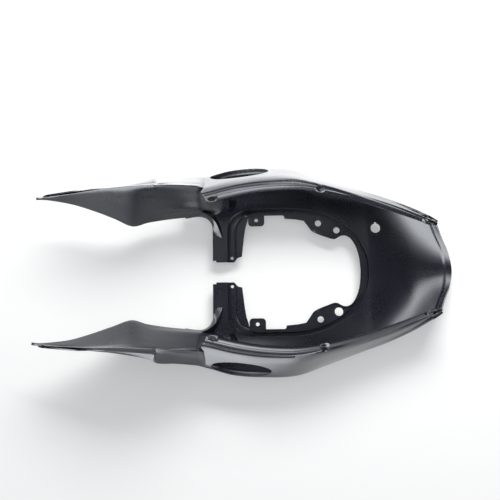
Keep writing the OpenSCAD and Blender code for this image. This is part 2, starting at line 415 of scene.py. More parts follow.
def prism(name: str, outline: Sequence[Sequence[float]], low: float, high: float) -> bpy.types.Object:
    """Make a prism on a plan outline.

    Args:
        name: the object's name.
        outline: x and y of its corners, in millimetres.
        low: height of its underside.
        high: height of its top.

    Returns:
        The prism.
    """
    bm = bmesh.new()
    face = bm.faces.new([bm.verts.new((p[0], p[1], low)) for p in outline])
    top = bmesh.ops.extrude_face_region(bm, geom=[face])["geom"]
    raised = [v for v in top if isinstance(v, bmesh.types.BMVert)]
    bmesh.ops.translate(bm, verts=raised, vec=(0, 0, high - low))
    bmesh.ops.recalc_face_normals(bm, faces=bm.faces)
    return from_bmesh(name, bm)


def loft(name: str, rings: Sequence[Sequence[Place]]) -> bpy.types.Object:
    """Make a closed skin over rings of points, with a flat face on the first and the last.

    Args:
        name: the object's name.
        rings: the rings in order, each with the same number of points.

    Returns:
        The skin.
    """
    bm = bmesh.new()
    loops = [[bm.verts.new(point) for point in ring] for ring in rings]
    sides = len(loops[0])
    for near, far in zip(loops, loops[1:]):
        for k in range(sides):
            after = (k + 1) % sides
            bm.faces.new((near[k], near[after], far[after], far[k]))
    bm.faces.new(loops[0])
    bm.faces.new(loops[-1])
    bmesh.ops.recalc_face_normals(bm, faces=bm.faces)
    return from_bmesh(name, bm)


def flip(obj: bpy.types.Object) -> None:
    """Mirror an object's mesh to the other side of the fairing."""
    bm = bmesh.new()
    bm.from_mesh(obj.data)
    bmesh.ops.scale(bm, verts=bm.verts, vec=(1, -1, 1))
    bmesh.ops.reverse_faces(bm, faces=bm.faces)
    bm.to_mesh(obj.data)
    bm.free()


def drill(name: str, radius: float, low: float, high: float, sides: int = 48) -> bpy.types.Object:
    """Make a drill, a cylinder along Z from low to high."""
    bm = bmesh.new()
    bmesh.ops.create_cone(bm, cap_ends=True, segments=sides, radius1=radius, radius2=radius, depth=high - low)
    bmesh.ops.translate(bm, verts=bm.verts, vec=(0, 0, (low + high) / 2))
    return from_bmesh(name, bm)


def cut(obj: bpy.types.Object, tools: Sequence[bpy.types.Object], keep: str = "DIFFERENCE") -> None:
    """Cut tools out of an object, or join them to it, and remove them."""
    for tool in tools:
        step = obj.modifiers.new("cut", "BOOLEAN")
        step.operation = keep
        step.solver = "MANIFOLD"
        step.object = tool
    bpy.context.view_layer.update()
    apply_modifiers(obj)
    for tool in tools:
        bpy.data.objects.remove(tool)


def on_side(outline: Sequence[Place], side: int) -> Sequence[Place]:
    """Return a far-side plan outline for side 1, and its mirror image for side -1."""
    return outline if side > 0 else [(x, -y) for x, y in reversed(outline)]


def mirrored(half: Sequence[Place]) -> list[Place]:
    """Return a closed plan outline from its far half."""
    return list(half) + list(on_side(half, -1))


def to_place(tool: bpy.types.Object, turn: Euler, at: Vector) -> bpy.types.Object:
    """Turn a tool about the origin, then move it to its place.

    Args:
        tool: the tool, made at the origin.
        turn: its turn.
        at: its place, in millimetres.

    Returns:
        The same tool.
    """
    matrix = turn.to_matrix()
    for v in tool.data.vertices:
        v.co = matrix @ v.co + at
    return tool


def settle(obj: bpy.types.Object, sizes: Sizes) -> None:
    """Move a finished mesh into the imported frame, in metres."""
    for v in obj.data.vertices:
        v.co = sizes.place(v.co)


class Net:
    """Short ways to add and link nodes of a tree."""

    def __init__(self, tree: bpy.types.NodeTree) -> None:
        """Keep the tree."""
        self.tree = tree

    def link(self, a: bpy.types.NodeSocket, b: bpy.types.NodeSocket) -> None:
        """Link output a to input b."""
        self.tree.links.new(a, b)

    def add(self, kind: str, data_type: str = "", **inputs: Value) -> bpy.types.Node:
        """Add a node and set or link its inputs.

        Args:
            kind: the node's type.
            data_type: its data type, where it has one.
            **inputs: a value or an output for each named input.

        Returns:
            The node.
        """
        node = self.tree.nodes.new(kind)
        if data_type:
            node.data_type = data_type
        self._fill(node, inputs)
        return node

    def group(self, tree: bpy.types.NodeTree, **inputs: Value) -> bpy.types.Node:
        """Add a node group and set or link its inputs."""
        node = self.tree.nodes.new("ShaderNodeGroup")
        node.node_tree = tree
        self._fill(node, inputs)
        return node

    def math(self, operation: str, *values: Value) -> bpy.types.NodeSocket:
        """Add a math node and return its output."""
        node = self.tree.nodes.new("ShaderNodeMath")
        node.operation = operation
        for i, value in enumerate(values):
            self._put(node.inputs[i], value)
        return node.outputs[0]

    def parts(self, space: str) -> bpy.types.NodeOutputs:
        """Return the X, Y and Z outputs of one of the texture coordinates."""
        return self.add("ShaderNodeSeparateXYZ", Vector=self.add("ShaderNodeTexCoord").outputs[space]).outputs

    def times(self, *values: Value) -> bpy.types.NodeSocket:
        """Return the product of two or more values."""
        total = values[0]
        for value in values[1:]:
            total = self.math("MULTIPLY", total, value)
        return total

    def ramp(self, value: Value, low: float, high: float, start: float, end: float) -> bpy.types.NodeSocket:
        """Return a smooth ramp of a value.

        Args:
            value: the value to read.
            low: where the ramp starts.
            high: where it ends.
            start: what it gives up to its start.
            end: what it gives from its end on.

        Returns:
            The ramp's output.
        """
        node = self.tree.nodes.new("ShaderNodeMapRange")
        node.interpolation_type = "SMOOTHSTEP"
        for name, number in zip(("From Min", "From Max", "To Min", "To Max"), (low, high, start, end)):
            node.inputs[name].default_value = number
        self.link(value, node.inputs["Value"])
        return node.outputs["Result"]

    def _fill(self, node: bpy.types.Node, inputs: dict[str, Value]) -> None:
        """Set or link a node's named inputs."""
        for name, value in inputs.items():
            self._put(node.inputs[name.replace("_", " ")], value)

    def _put(self, socket: bpy.types.NodeSocket, value: Value) -> None:
        """Set one input, or link it to an output."""
        if isinstance(value, bpy.types.NodeSocket):
            self.link(value, socket)
        else:
            socket.default_value = value


Group = tuple[bpy.types.NodeTree, Net, bpy.types.Node, bpy.types.Node]
VECTOR_IN = ("Vector", "INPUT", "NodeSocketVector")
VALUE_OUT = ("Value", "OUTPUT", "NodeSocketFloat")


def new_group(name: str, sockets: Sequence[tuple[str, str, str]]) -> Group:
    """Make an empty shader group.

    Args:
        name: the group's name.
        sockets: name, direction and type of each socket.

    Returns:
        The tree, its helper, its input node and its output node.
    """
    tree = bpy.data.node_groups.new(name, "ShaderNodeTree")
    for label, way, kind in sockets:
        tree.interface.new_socket(label, in_out=way, socket_type=kind)
    net = Net(tree)
    return tree, net, net.add("NodeGroupInput"), net.add("NodeGroupOutput")


def mottle_group() -> bpy.types.NodeTree:
    """Return the group of slow clouds with fine specks, kept once."""
    if "mottle" in bpy.data.node_groups:
        return bpy.data.node_groups["mottle"]
    sockets = (VECTOR_IN, ("Scale", "INPUT", "NodeSocketFloat"), VALUE_OUT)
    tree, net, given, out = new_group("mottle", sockets)
    here = given.outputs["Vector"]
    slow = net.add("ShaderNodeTexNoise", Vector=here, Scale=given.outputs["Scale"], Detail=4.0)
    fine = net.add("ShaderNodeTexNoise", Vector=here, Scale=260.0, Detail=3.0)
    clouds = net.ramp(slow.outputs["Fac"], 0.35, 0.7, 0.0, 0.75)
    specks = net.ramp(fine.outputs["Fac"], 0.55, 0.78, 0.0, 0.5)
    net.link(net.math("ADD", clouds, specks), out.inputs["Value"])
    return tree


def grain_group() -> bpy.types.NodeTree:
    """Return the group of the moulding's grain as a bumped normal, kept once."""
    if "grain" in bpy.data.node_groups:
        return bpy.data.node_groups["grain"]
    tree, net, given, out = new_group("grain", (
        VECTOR_IN, ("Size", "INPUT", "NodeSocketFloat"), ("Strength", "INPUT", "NodeSocketFloat"),
        ("Normal", "OUTPUT", "NodeSocketVector"),
    ))
    here, size, strength = (given.outputs[name] for name in ("Vector", "Size", "Strength"))
    noise = net.add("ShaderNodeTexNoise", Vector=here, Scale=size, Detail=2.0)
    bump = net.add("ShaderNodeBump", Strength=strength, Distance=0.0004, Height=noise.outputs["Fac"])
    net.link(bump.outputs["Normal"], out.inputs["Normal"])
    return tree


@dataclass(frozen=True)
class Scuff:
    """A scuffed place: its middle and reach in metres, and how its scratches are drawn out."""

    centre: Place
    reach: float
    stretch: Place

    def mask(self, net: Net, vector: bpy.types.NodeSocket) -> bpy.types.NodeSocket:
        """Return how scuffed the surface is at a place.

        Args:
            net: the tree to build in.
            vector: the place's output.

        Returns:
            The mask's output, 0 to 1.
        """
        off = net.add("ShaderNodeVectorMath")
        off.operation = "DISTANCE"
        net.link(vector, off.inputs[0])
        off.inputs[1].default_value = self.centre
        near = net.ramp(off.outputs["Value"], 0.4 * self.reach, self.reach, 1.0, 0.0)
        spread = net.add("ShaderNodeVectorMath")
        spread.operation = "MULTIPLY"
        net.link(vector, spread.inputs[0])
        spread.inputs[1].default_value = self.stretch
        drawn = spread.outputs["Vector"]
        noise = net.add("ShaderNodeTexNoise", Vector=drawn, Scale=300.0, Detail=3.0, Distortion=1.5)
        return net.times(near, net.ramp(noise.outputs["Fac"], 0.56, 0.66, 0.0, 1.0))


HUMP_SCUFF = Scuff((0.327, -0.018, 0.006), 0.016, (1.0, 3.0, 1.0))
ARM_SCUFF = Scuff((-0.328, 0.139, 0.06), 0.014, (0.7, 3.0, 0.5))


def scuff_group() -> bpy.types.NodeTree:
    """Return the group of the two scuffed places, one in the hump and one on the far arm, kept once."""
    if "scuffs" in bpy.data.node_groups:
        return bpy.data.node_groups["scuffs"]
    tree, net, given, out = new_group("scuffs", (VECTOR_IN, VALUE_OUT))
    masks = [scuff.mask(net, given.outputs["Vector"]) for scuff in (HUMP_SCUFF, ARM_SCUFF)]
    total = net.math("MAXIMUM", *masks)
    net.link(total, out.inputs["Value"])
    return tree


@dataclass(frozen=True)
class Finish:
    """A moulded black finish: its colour, how it reflects, and how uneven it is."""

    name: str
    colour: Sequence[float]
    rough: float
    shine: float = 0.5
    coat: float = 0.0
    mottle: float = 0.2
    grain: float = 0.0
    grain_size: float = 900.0
    scuffs: float = 0.0
    cloud_scale: float = 14.0
    pale_gain: float = 2.2
    pale_lift: float = 0.012
    rough_from: float = 0.88
    rough_run: float = 0.25
    coat_rough: float = 0.06

    def material(self) -> bpy.types.Material:
        """Return the finish as a material.

        Returns:
            A new material with its node tree.
        """
        mat = bpy.data.materials.new(self.name)
        mat.use_nodes = True
        net = Net(mat.node_tree)
        node = mat.node_tree.nodes["Principled BSDF"]
        here = net.add("ShaderNodeTexCoord").outputs["Object"]
        cloud = net.group(mottle_group(), Vector=here, Scale=self.cloud_scale)
        pale = net.add("ShaderNodeMix", data_type="RGBA")
        pale.inputs["A"].default_value = (*self.colour, 1)
        lifted = [min(c * self.pale_gain + self.pale_lift, 1) for c in self.colour]
        pale.inputs["B"].default_value = (*lifted, 1)
        amount = net.times(cloud.outputs["Value"], self.mottle)
        if self.scuffs:
            marks = net.group(scuff_group(), Vector=here).outputs["Value"]
            amount = net.math("MAXIMUM", amount, net.times(marks, self.scuffs))
        net.link(amount, pale.inputs["Factor"])
        net.link(pale.outputs["Result"], node.inputs["Base Color"])
        rough = net.math(
            "MULTIPLY_ADD", cloud.outputs["Value"], self.rough_run * self.rough, self.rough_from * self.rough
        )
        net.link(rough, node.inputs["Roughness"])
        node.inputs["Specular IOR Level"].default_value = self.shine
        node.inputs["Coat Weight"].default_value = self.coat
        node.inputs["Coat Roughness"].default_value = self.coat_rough
        if self.grain:
            bump = net.group(grain_group(), Vector=here, Size=self.grain_size, Strength=self.grain)
            net.link(bump.outputs["Normal"], node.inputs["Normal"])
        return mat


FINISHES = {
    Zone.INNER: Finish(
        "inner_dull", (0.006, 0.0068, 0.0125), 0.3, shine=0.75, mottle=0.06, grain=0.03, scuffs=0.6
    ),
    Zone.GLOSS: Finish("outer_gloss", (0.006, 0.006, 0.007), 0.16, coat=1.0, mottle=0.1),
    Zone.RIM: Finish("rim_rough", (0.035, 0.035, 0.035), 0.6, mottle=0.9, grain=0.6, grain_size=420.0),
    Zone.FLANGE: Finish("channel_rough", (0.03, 0.03, 0.031), 0.4, mottle=0.7, grain=0.5, grain_size=380.0),
}


@dataclass
class Shell:
    """The moulded shell: its body, its two arms and what is cut into it.

    A place named with an x is in millimetres behind the crossbars' front edge. One named with an at holds
    such an x, then a y from the middle.
    """

    sizes: Sizes = field(default_factory=Sizes)
    rows: int = 190
    arm_rows: int = 120
    arm_cols: int = 45
    arm_back: float = 34.0
    arm_spread: float = 0.9
    arm_bury: float = 0.3
    dive_before: float = 30.0
    dive_run: float = 24.0
    seat_before: float = 20.0
    splits: Sequence[int] = (5, 5, 4, 4, 3, 3, 3, 3, 3, 4, 4, 3, 2, 3, 5, 5, 3, 4, 3, 3, 3, 3)
    join: float = 1.2
    skin: float = 0.3
    crossbar_bore_x: float = 39.0
    tab_x: float = 89.0
    tab_corner: float = 7.5
    bracket_x: float = 215.0
    rear_bore_x: float = 252.0
    opening_rear: float = 298.0
    web_in: float = 15.0
    web_steps: int = 24
    screws: Sequence[tuple[float, float]] = ((2.0, 140.0), (217.0, 159.0), (421.0, 93.0))
    screw_low: float = 25.0
    screw_high: float = 110.0
    dimple_r: float = 15.6
    dimple_d: float = 1.3
    bead_shares: Sequence[float] = (0.17, 0.25, 0.36, 0.42, 0.48, 0.53, 0.565, 0.59)
    bead_steps: int = 120
    bead_skin: float = 1.5
    bar_groove_d: float = 3.0
    bar_groove_run: float = 44.0
    ring_h: float = 0.9
    tab_ring_r: float = 6.2
    bracket_ring_r: float = 9.0
    rear_ring_r: float = 9.0
    rear_ring_wide_r: float = 11.0
    rib_x: tuple[float, float] = (77.0, 79.4)
    rib_y: tuple[float, float] = (95.0, 119.0)
    rib_h: float = 1.8
    lip_h: float = 1.5
    lip_w: float = 2.6
    lip_foot: float = 3.8
    imprint_at: tuple[float, float] = (366.0, 2.0)
    imprint_d: float = 0.7
    vent_x: float = 56.0
    vent_in: float = 14.0
    vent_up: float = 13.0
    vent_lean: float = math.radians(-37)
    vent_swing: float = math.radians(6)
    vent_reach: float = 15.0
    vent_sides: int = 96
    lock_at: tuple[float, float] = (331.0, 86.0)
    lock_boss_h: float = 4.0
    lock_boss_low: float = 2.0
    lock_sides: int = 64
    lock_notch: Sequence[tuple[float, float]] = ((-2.6, 7), (2.6, 7), (1.8, 12), (-1.8, 12))
    pocket_x: float = 38.0
    pocket_half: float = 10.5
    pocket_wall: float = 1.6
    pocket_d: float = 9.4
    pocket_box: tuple[float, float] = (-11.0, -1.0)
    pocket_clear: float = 25.0
    rim_slope: float = 2.5
    clear: float = 30.0
    kept: dict[float, list[Vector]] = field(default_factory=dict, repr=False)

    def __post_init__(self) -> None:
        """Work out the form and the columns' places from the sizes."""
        self.form = ShellForm(self.sizes)
        self.places = [i + j / n for i, n in enumerate(self.splits) for j in range(n)]
        self.places.append(float(len(self.splits)))

    def body_point(self, u: float, v: float) -> Vector:
        """Return a point of the body's inner side.

        Args:
            u: share along the fairing.
            v: share across it, from the near flange's edge to the far one's.

        Returns:
            The point, in millimetres.
        """
        n = len(self.places) - 1
        col = round((v * 2 - 1) * n)
        place = self.places[abs(col)]
        x = self.form.section_x(u, place / len(self.splits))
        section = self.section(x)
        p = on_section(section, place) if place else section[0]
        up = self.rim_lift(u)
        if up:
            a, b = on_section(section, max(place - 0.2, 0)), on_section(section, place + 0.2)
            way = (b - a).normalized()
            p = p + Vector((-way[1], way[0])) * up
        return Vector((x, math.copysign(p[0], col) if col else 0.0, p[1]))

    def flange_top(self, x: float, y: float) -> float:
        """Return the height of the flange's upper side at a place."""
        section = self.form.half_section(x)
        first, steps, fine = 15, 141, 20
        tries = [first + i / fine for i in range(steps)]
        best = min(tries, key=lambda place: abs(on_section(section, place)[0] - y))
        return on_section(section, best)[1] + self.sizes.wall

    def dimple(self, x: float, y: float, side: int) -> bpy.types.Object:
        """Return the ball that cuts the shallow dimple round a flange screw hole."""
        bm = bmesh.new()
        bmesh.ops.create_icosphere(bm, subdivisions=5, radius=self.dimple_r)
        x = self.sizes.bar_x + x
        centre = (x, side * y, self.flange_top(x, y) + self.dimple_r - self.dimple_d)
        bmesh.ops.translate(bm, verts=bm.verts, vec=centre)
        return from_bmesh("dimple", bm)

    def imprint(self) -> bpy.types.Object:
        """Return the tool that presses the plain mark into the hump."""
        outline = [(-15.5, 0), (-5, -3), (-5, -5.7), (15, -5.7), (15, 5.7), (-5, 5.7), (-5, 4)]
        tool = prism("imprint", outline, -self.imprint_d, 4)
        x, y = self.sizes.bar_x + self.imprint_at[0], self.imprint_at[1]
        fall = self.form.floor_z(x + 5, y) - self.form.floor_z(x - 5, y)
        return to_place(tool, Euler((0, -math.atan(fall / 10), 0)), Vector((x, y, self.form.floor_z(x, y))))

    def curl(self, side: int) -> bpy.types.Object:
        """Return the ridge that carries an arm's inner strip round the web and ends on the crossbar."""
        x = self.sizes.bar_x
        edge = [Vector(p) for p in (
            (x - 55, 112, 0), (x - 27, 115.5, 0), (x - 12, 111, 0), (x - 2.5, 100, 0), (x + 1, 87, 0),
            (x + 6, 76, 0), (x + 17, 71, 0),
        )]
        crest = [Vector(p) for p in (
            (x - 60, 124, 27), (x - 30, 123, 23), (x - 12, 117, 18), (x + 2, 107, 13), (x + 10, 94, 8),
            (x + 15, 82, 4), (x + 19, 71.5, 0.3),
        )]
        foot = [Vector(p) for p in (
            (x - 58, 134, 20), (x - 26, 134, 6), (x - 6, 126, 0), (x + 8, 112, 0), (x + 16, 96, 0),
            (x + 19, 83, 0), (x + 21, 71.5, 0),
        )]
        steps, sunk = 48, Vector((0, 0, 0.4))
        low = -self.sizes.wall + 0.4
        rings = []
        for i in range(steps + 1):
            place = i / steps * (len(crest) - 1)
            a, c, f = (on_section(line, place) for line in (edge, crest, foot))
            ring = [
                a - sunk, a.lerp(c, 0.55) + Vector((0, 0, 0.12 * c.z)), c,
                c.lerp(f, 0.25) - Vector((0, 0, 0.02 * c.z)), f - sunk,
                Vector((f.x, f.y, low)), Vector((a.x, a.y, low)),
            ]
            rings.append([(q.x, q.y * side, q.z) for q in ring])
        return loft("curl", rings)

    def raised(self) -> list[bpy.types.Object]:
        """Return the rings round the bores, the tabs' ribs and the lip behind the opening."""
        s = self.sizes
        x0 = s.bar_x
        parts = []
        for x, y, r in (
            (self.tab_x, s.tab_pitch / 2, self.tab_ring_r),
            (self.tab_x, -s.tab_pitch / 2, self.tab_ring_r),
            (self.bracket_x, s.bracket_pitch / 2, self.bracket_ring_r),
            (self.bracket_x, -s.bracket_pitch / 2, self.bracket_ring_r),
            (self.rear_bore_x, s.rear_pitch / 2, self.rear_ring_r),
            (self.rear_bore_x, -s.rear_pitch / 2, self.rear_ring_wide_r),
        ):
            parts.append(self.through(x0 + x, y, 2 * r, -self.join, self.ring_h))
        (front, rear), (inner, outer) = self.rib_x, self.rib_y
        rib = [(x0 + front, inner), (x0 + rear, inner), (x0 + rear, outer), (x0 + front, outer)]
        for side in (-1, 1):
            parts.append(prism("rib", on_side(rib, side), -self.join, self.rib_h))
        return parts + [self.lip()]

    def lip(self) -> bpy.types.Object:
        """Return the raised lip that runs round the opening from one bracket plate to the other."""
        half = [Vector(p) for p in self.lip_line()]
        fine = 6
        line = [on_section(half, i / fine) for i in range(fine * (len(half) - 1) + 1)]
        line += [Vector((q[0], -q[1])) for q in reversed(line[:-1])]
        end, low = len(line) - 1, -self.join
        rings = []
        for i, q in enumerate(line):
            way = (line[min(i + 1, end)] - line[max(i - 1, 0)]).normalized()
            out = Vector((-way[1], way[0]))
            rise = self.lip_h * ease(min(i, end - i) / 8)
            a, b, c = q + out * 0.05, q + out * self.lip_w, q + out * self.lip_foot
            rings.append([
                (a[0], a[1], low), (a[0], a[1], rise), (b[0], b[1], rise),
                (c[0], c[1], -0.2), (c[0], c[1], low),
            ])
        return loft("lip", rings)

    def lip_line(self) -> list[Place]:
        """Return the far half of the opening's rear edge, from the bracket plate to the middle."""
        rear = self.sizes.bar_x + self.opening_rear
        return [
            (rear - 96, 82), (rear - 84, 75.5), (rear - 68, 69.5), (rear - 55, 65), (rear - 48, 65.5),
            (rear - 40, 70), (rear - 33, 72), (rear - 26, 71), (rear - 18, 65.5), (rear - 10, 53),
            (rear - 4, 36), (rear - 1, 18), (rear, 0),
        ]

    def rim_lift(self, u: float) -> float:
        """Return how far the raised rim stands above the inner side at share u along the body."""
        return self.rim_height((1 - u) * self.sizes.body_l)

    def rim_height(self, back: float) -> float:
        """Return the rim's height at a distance before the tail's end."""
        return self.sizes.rim_h * (1 - ease((back - self.sizes.rim_w + self.rim_slope) / self.rim_slope))

    def rim_extra(self, p: Vector) -> float:
        """Return how much thicker the wall is at a point of the inner side, because of the rim."""
        width = self.form.body(self.form.widest, p.x)[0]
        k = min(abs(p.y) / width * len(self.form.floor_shares) / len(self.splits), self.form.flank_share)
        back = self.sizes.tail_l - p.x - self.sizes.flank_end * ease(k / self.form.flank_share)
        return self.rim_height(back)

    def section(self, x: float) -> list[Vector]:
        """Return the body's section at x, kept for columns at the same place."""
        key = round(x, 2)
        if key not in self.kept:
            self.kept[key] = self.form.half_section(x)
        return self.kept[key]

    def arm_point(self, u: float, v: float) -> Vector:
        """Return a point of the far arm's inner side, which dives into the floor at its back end."""
        s = self.sizes
        x = mix(0, s.bar_x + self.arm_back, u**self.arm_spread)
        section = self.form.arm_section(x)
        p = on_section(section, v * (len(section) - 1))
        sink = ease((x - s.bar_x + self.dive_before) / (self.arm_back + self.dive_run))
        seat = self.form.floor_z(max(x, s.bar_x - self.seat_before), p[0]) - self.arm_bury * s.wall
        return Vector((x, p[0], mix(p[1], seat, sink)))

    def bead_edge(self, inner: bool) -> list[Vector]:
        """Return the far half of the bead's outer or inner edge in plan, from the crossbar to the tail."""
        s = self.sizes
        x0 = s.bar_x
        inset = s.bead_in + s.bead_w if inner else s.bead_in
        front = (
            ((48, 10), (48, 60), (48.5, 84), (51, 95), (57, 104), (66, 111), (77, 116.5))
            if inner
            else ((30, 10), (30, 60), (30.5, 92), (33, 104), (39, 114), (48, 121.5), (61, 127.5))
        )
        points = [Vector((x0 + x, y)) for x, y in front]
        for t in self.bead_shares:
            foot = self.form.foot.at(t)[0]
            points.append(Vector((x0 + t * s.body_l - inset * ease((t - 0.44) / 0.2), foot - inset)))
        back = 307.5 if inner else 315.0
        points += [Vector((x0 + back - 11, 50)), Vector((x0 + back - 4, 33)), Vector((x0 + back - 0.5, 14))]
        return points + [Vector((x0 + back, 0))]

    def bead(self, grow: float, low: float, high: float) -> bpy.types.Object:
        """Return a closed band along the bead, with sloped sides and a flat bottom.

        Args:
            grow: how much wider than the bead's edges it is, on each side.
            low: its depth below the bead's own bottom.
            high: height of its top.

        Returns:
            The band, in millimetres.
        """
        outer, inner = self.bead_edge(False), self.bead_edge(True)
        half = []
        for i in range(self.bead_steps + 1):
            place = i / self.bead_steps * (len(outer) - 1)
            a, b = on_section(outer, place), on_section(inner, place)
            behind = (a[0] - self.sizes.bar_x - self.bar_groove_run) / self.bar_groove_run
            depth = mix(self.bar_groove_d, self.sizes.bead_d, ease(behind))
            across = (b - a).normalized() * grow
            half.append((a - across, b + across, depth))
        loop = half + [(Vector((a[0], -a[1])), Vector((b[0], -b[1])), d) for a, b, d in reversed(half[:-1])]
        profile = (
            (-0.02, None), (0.0, 0.0), (0.07, 0.75), (0.14, 1.0),
            (0.86, 1.0), (0.93, 0.75), (1.0, 0.0), (1.02, None),
        )
        rings = []
        for a, b, depth in loop:
            ring = []
            for t, share in profile:
                q = a.lerp(b, t)
                z = high if share is None else min(-share * (depth + low), high - 0.2)
                ring.append((q[0], q[1], z))
            rings.append(ring)
        return loft("bead", rings)

    def opening(self) -> bpy.types.Object:
        """Return the prism of the central opening and the gap between the crossbar halves."""
        s = self.sizes
        x0, front, half = s.bar_x, s.bar_x + s.crossbar_w, s.opening_half
        rear, gap = s.bar_x + self.opening_rear, s.crossbar_gap / 2
        lead = [
            (x0 - 60, gap + 3), (x0 + 6.5, gap + 3), (x0 + 7, gap - 0.5), (front - 21, gap - 0.5),
            (front - 14, gap + 8), (front - 5, gap + 10.5), (front, 74), (front + 3, 92), (front + 7, 104),
            (front + 9, half - 2), (front + 13, half), (x0 + 143.5, half), (x0 + 146, half - 2),
            (x0 + 147, half - 7), (x0 + 170, half - 9),
        ]
        plate = [(rear - 112, half - 12), (rear - 104, 93)] + self.lip_line()
        curve = [Vector(p) for p in plate]
        fine = [on_section(curve, i / 4) for i in range(4 * (len(curve) - 1) + 1)]
        outline = lead + [(p[0], p[1]) for p in fine[:-1]] + [(rear, 0.01)]
        return prism("opening", mirrored(outline), -2 * self.clear, 2 * self.clear)

    def through(
        self, x: float, y: float, bore: float, low: float = -60, high: float = 60
    ) -> bpy.types.Object:
        """Return a drill for an upright hole, in plan at x and y and as high as from low to high."""
        tool = drill("hole", bore / 2, low, high)
        for v in tool.data.vertices:
            v.co.x += x
            v.co.y += y
        return tool

    def holes(self) -> list[bpy.types.Object]:
        """Return the drills of all upright holes."""
        s = self.sizes
        x0 = s.bar_x
        tools = []
        for side in (-1, 1):
            for x, pitch, bore in (
                (self.crossbar_bore_x, s.crossbar_pitch, s.crossbar_bore),
                (self.tab_x, s.tab_pitch, s.tab_bore),
                (self.bracket_x, s.bracket_pitch, s.bracket_bore),
            ):
                tools.append(self.through(x0 + x, side * pitch / 2, bore))
            for x, y in self.screws:
                tools.append(self.through(x0 + x, side * y, s.screw_bore, self.screw_low, self.screw_high))
                tools.append(self.dimple(x, y, side))
            tools.append(self.vent(side))
        tools.append(self.imprint())
        tools.append(self.through(x0 + self.rear_bore_x, s.rear_pitch / 2, s.rear_bore))
        tools.append(self.through(x0 + self.rear_bore_x, -s.rear_pitch / 2, s.rear_bore_wide))
        return tools

    def vent(self, side: int) -> bpy.types.Object:
        """Return the leaning oval prism that cuts a flank's vent."""
        s = self.sizes
        x = s.bar_x + self.vent_x
        widest = self.form.body(self.form.widest, x)
        turns = [math.tau * i / self.vent_sides for i in range(self.vent_sides)]
        oval = [(s.vent_l / 2 * math.cos(a), s.vent_w / 2 * math.sin(a)) for a in turns]
        tool = prism("vent", oval, -self.vent_reach, self.vent_reach)
        at = Vector((x, widest[0] - self.vent_in, widest[1] + self.vent_up))
        to_place(tool, Euler((self.vent_lean, 0, self.vent_swing)), at)
        if side < 0:
            flip(tool)
        return tool

    def lock_place(self, tool: bpy.types.Object) -> bpy.types.Object:
        """Move a tool made along Z to the seat lock's place, square to the floor there."""
        x, y = self.sizes.bar_x + self.lock_at[0], self.lock_at[1]
        rise = self.form.floor_z(x, y + 5) - self.form.floor_z(x, y - 5)
        return to_place(tool, Euler((math.atan(rise / 10), 0, 0)), Vector((x, y, self.form.floor_z(x, y))))

    def web(self, side: int) -> bpy.types.Object:
        """Return the rounded web in the corner between an arm and its crossbar half."""
        s = self.sizes
        r, x, y = s.corner_r, s.bar_x - s.corner_r, s.tray_half - self.web_in - s.corner_r
        turns = [math.pi / 2 * i / self.web_steps for i in range(self.web_steps + 1)]
        arc = [(x + r * math.cos(a), y + r * math.sin(a)) for a in turns]
        outline = arc + [(x, y + r + 6), (x + r + 2, y + r + 6), (x + r + 2, y)]
        return prism("web", on_side(outline, side), -s.wall + self.skin, -self.skin)

    def tab(self, side: int) -> bpy.types.Object:
        """Return a side tab with rounded inner corners."""
        s = self.sizes
        x, r = s.bar_x + self.tab_x, self.tab_corner
        low, high = s.opening_half + 2 - s.tab_w, s.opening_half + 2.0
        outline = [(x - s.tab_l / 2, high)]
        for cx, start in ((x - s.tab_l / 2 + r, math.pi), (x + s.tab_l / 2 - r, 1.5 * math.pi)):
            outline += [
                (cx + r * math.cos(start + a), low + r + r * math.sin(start + a))
                for a in (math.pi / 2 * i / 8 for i in range(9))
            ]
        outline.append((x + s.tab_l / 2, high))
        return prism("tab", on_side(outline, side), -s.wall + self.skin, -self.skin)

    def pocket(self, side: int, wall: float, low: float, high: float) -> bpy.types.Object:
        """Return the shield-shaped block of a shoulder pocket, made larger by a wall.

        Args:
            side: 1 on the far side, -1 on the near one.
            wall: how far it is outside the pocket's own edge.
            low: height of its bottom.
            high: height of its top.

        Returns:
            The block, in millimetres.
        """
        x = self.sizes.bar_x + self.pocket_x
        w = self.pocket_half + wall
        outline = [
            (x + w, 153 + wall), (x + w, 137), (x + 0.72 * w, 129), (x + 0.3 * w, 124.5 - wall),
            (x - 2, 123.5 - wall), (x - 0.5 * w, 126 - wall), (x - 0.85 * w, 132), (x - w, 140),
            (x - w, 153 + wall),
        ]
        return prism("pocket", on_side(outline, side), low, high)

    def build(self) -> bpy.types.Object:
        """Build the shell.

        Returns:
            The finished shell, in millimetres from the arm tips.
        """
        s = self.sizes
        cols = 2 * (len(self.places) - 1)
        sides = (-1, 1)
        body = sheet("fairing_shell", self.rows, cols, self.body_point)
        thicken(body, s.wall, Zone.INNER.value, Zone.GLOSS.value, self.rim_extra)
        boss = drill("boss", s.lock_boss / 2, -s.wall - self.lock_boss_low, self.lock_boss_h, self.lock_sides)
        cut(body, [self.bead(self.bead_skin, s.wall, -0.5)], "UNION")
        cut(body, [self.pocket(side, self.pocket_wall, *self.pocket_box) for side in sides], "UNION")
        pockets = [self.pocket(side, 0, -self.pocket_d, self.pocket_clear) for side in sides]
        cut(body, [self.bead(0, 0, 5), self.opening()] + pockets)
        cut(body, [self.arm(1), self.arm(-1)], "UNION")
        cut(body, [self.tab(1), self.tab(-1), self.web(1), self.web(-1), self.lock_place(boss)], "UNION")
        cut(body, [self.curl(1), self.curl(-1)] + self.raised(), "UNION")
        notch = prism("notch", self.lock_notch, -self.clear, self.clear)
        lock = drill("lock", s.lock_bore / 2, -self.clear, self.clear, self.lock_sides)
        cut(body, self.holes() + [self.lock_place(notch), self.lock_place(lock)])
        return body

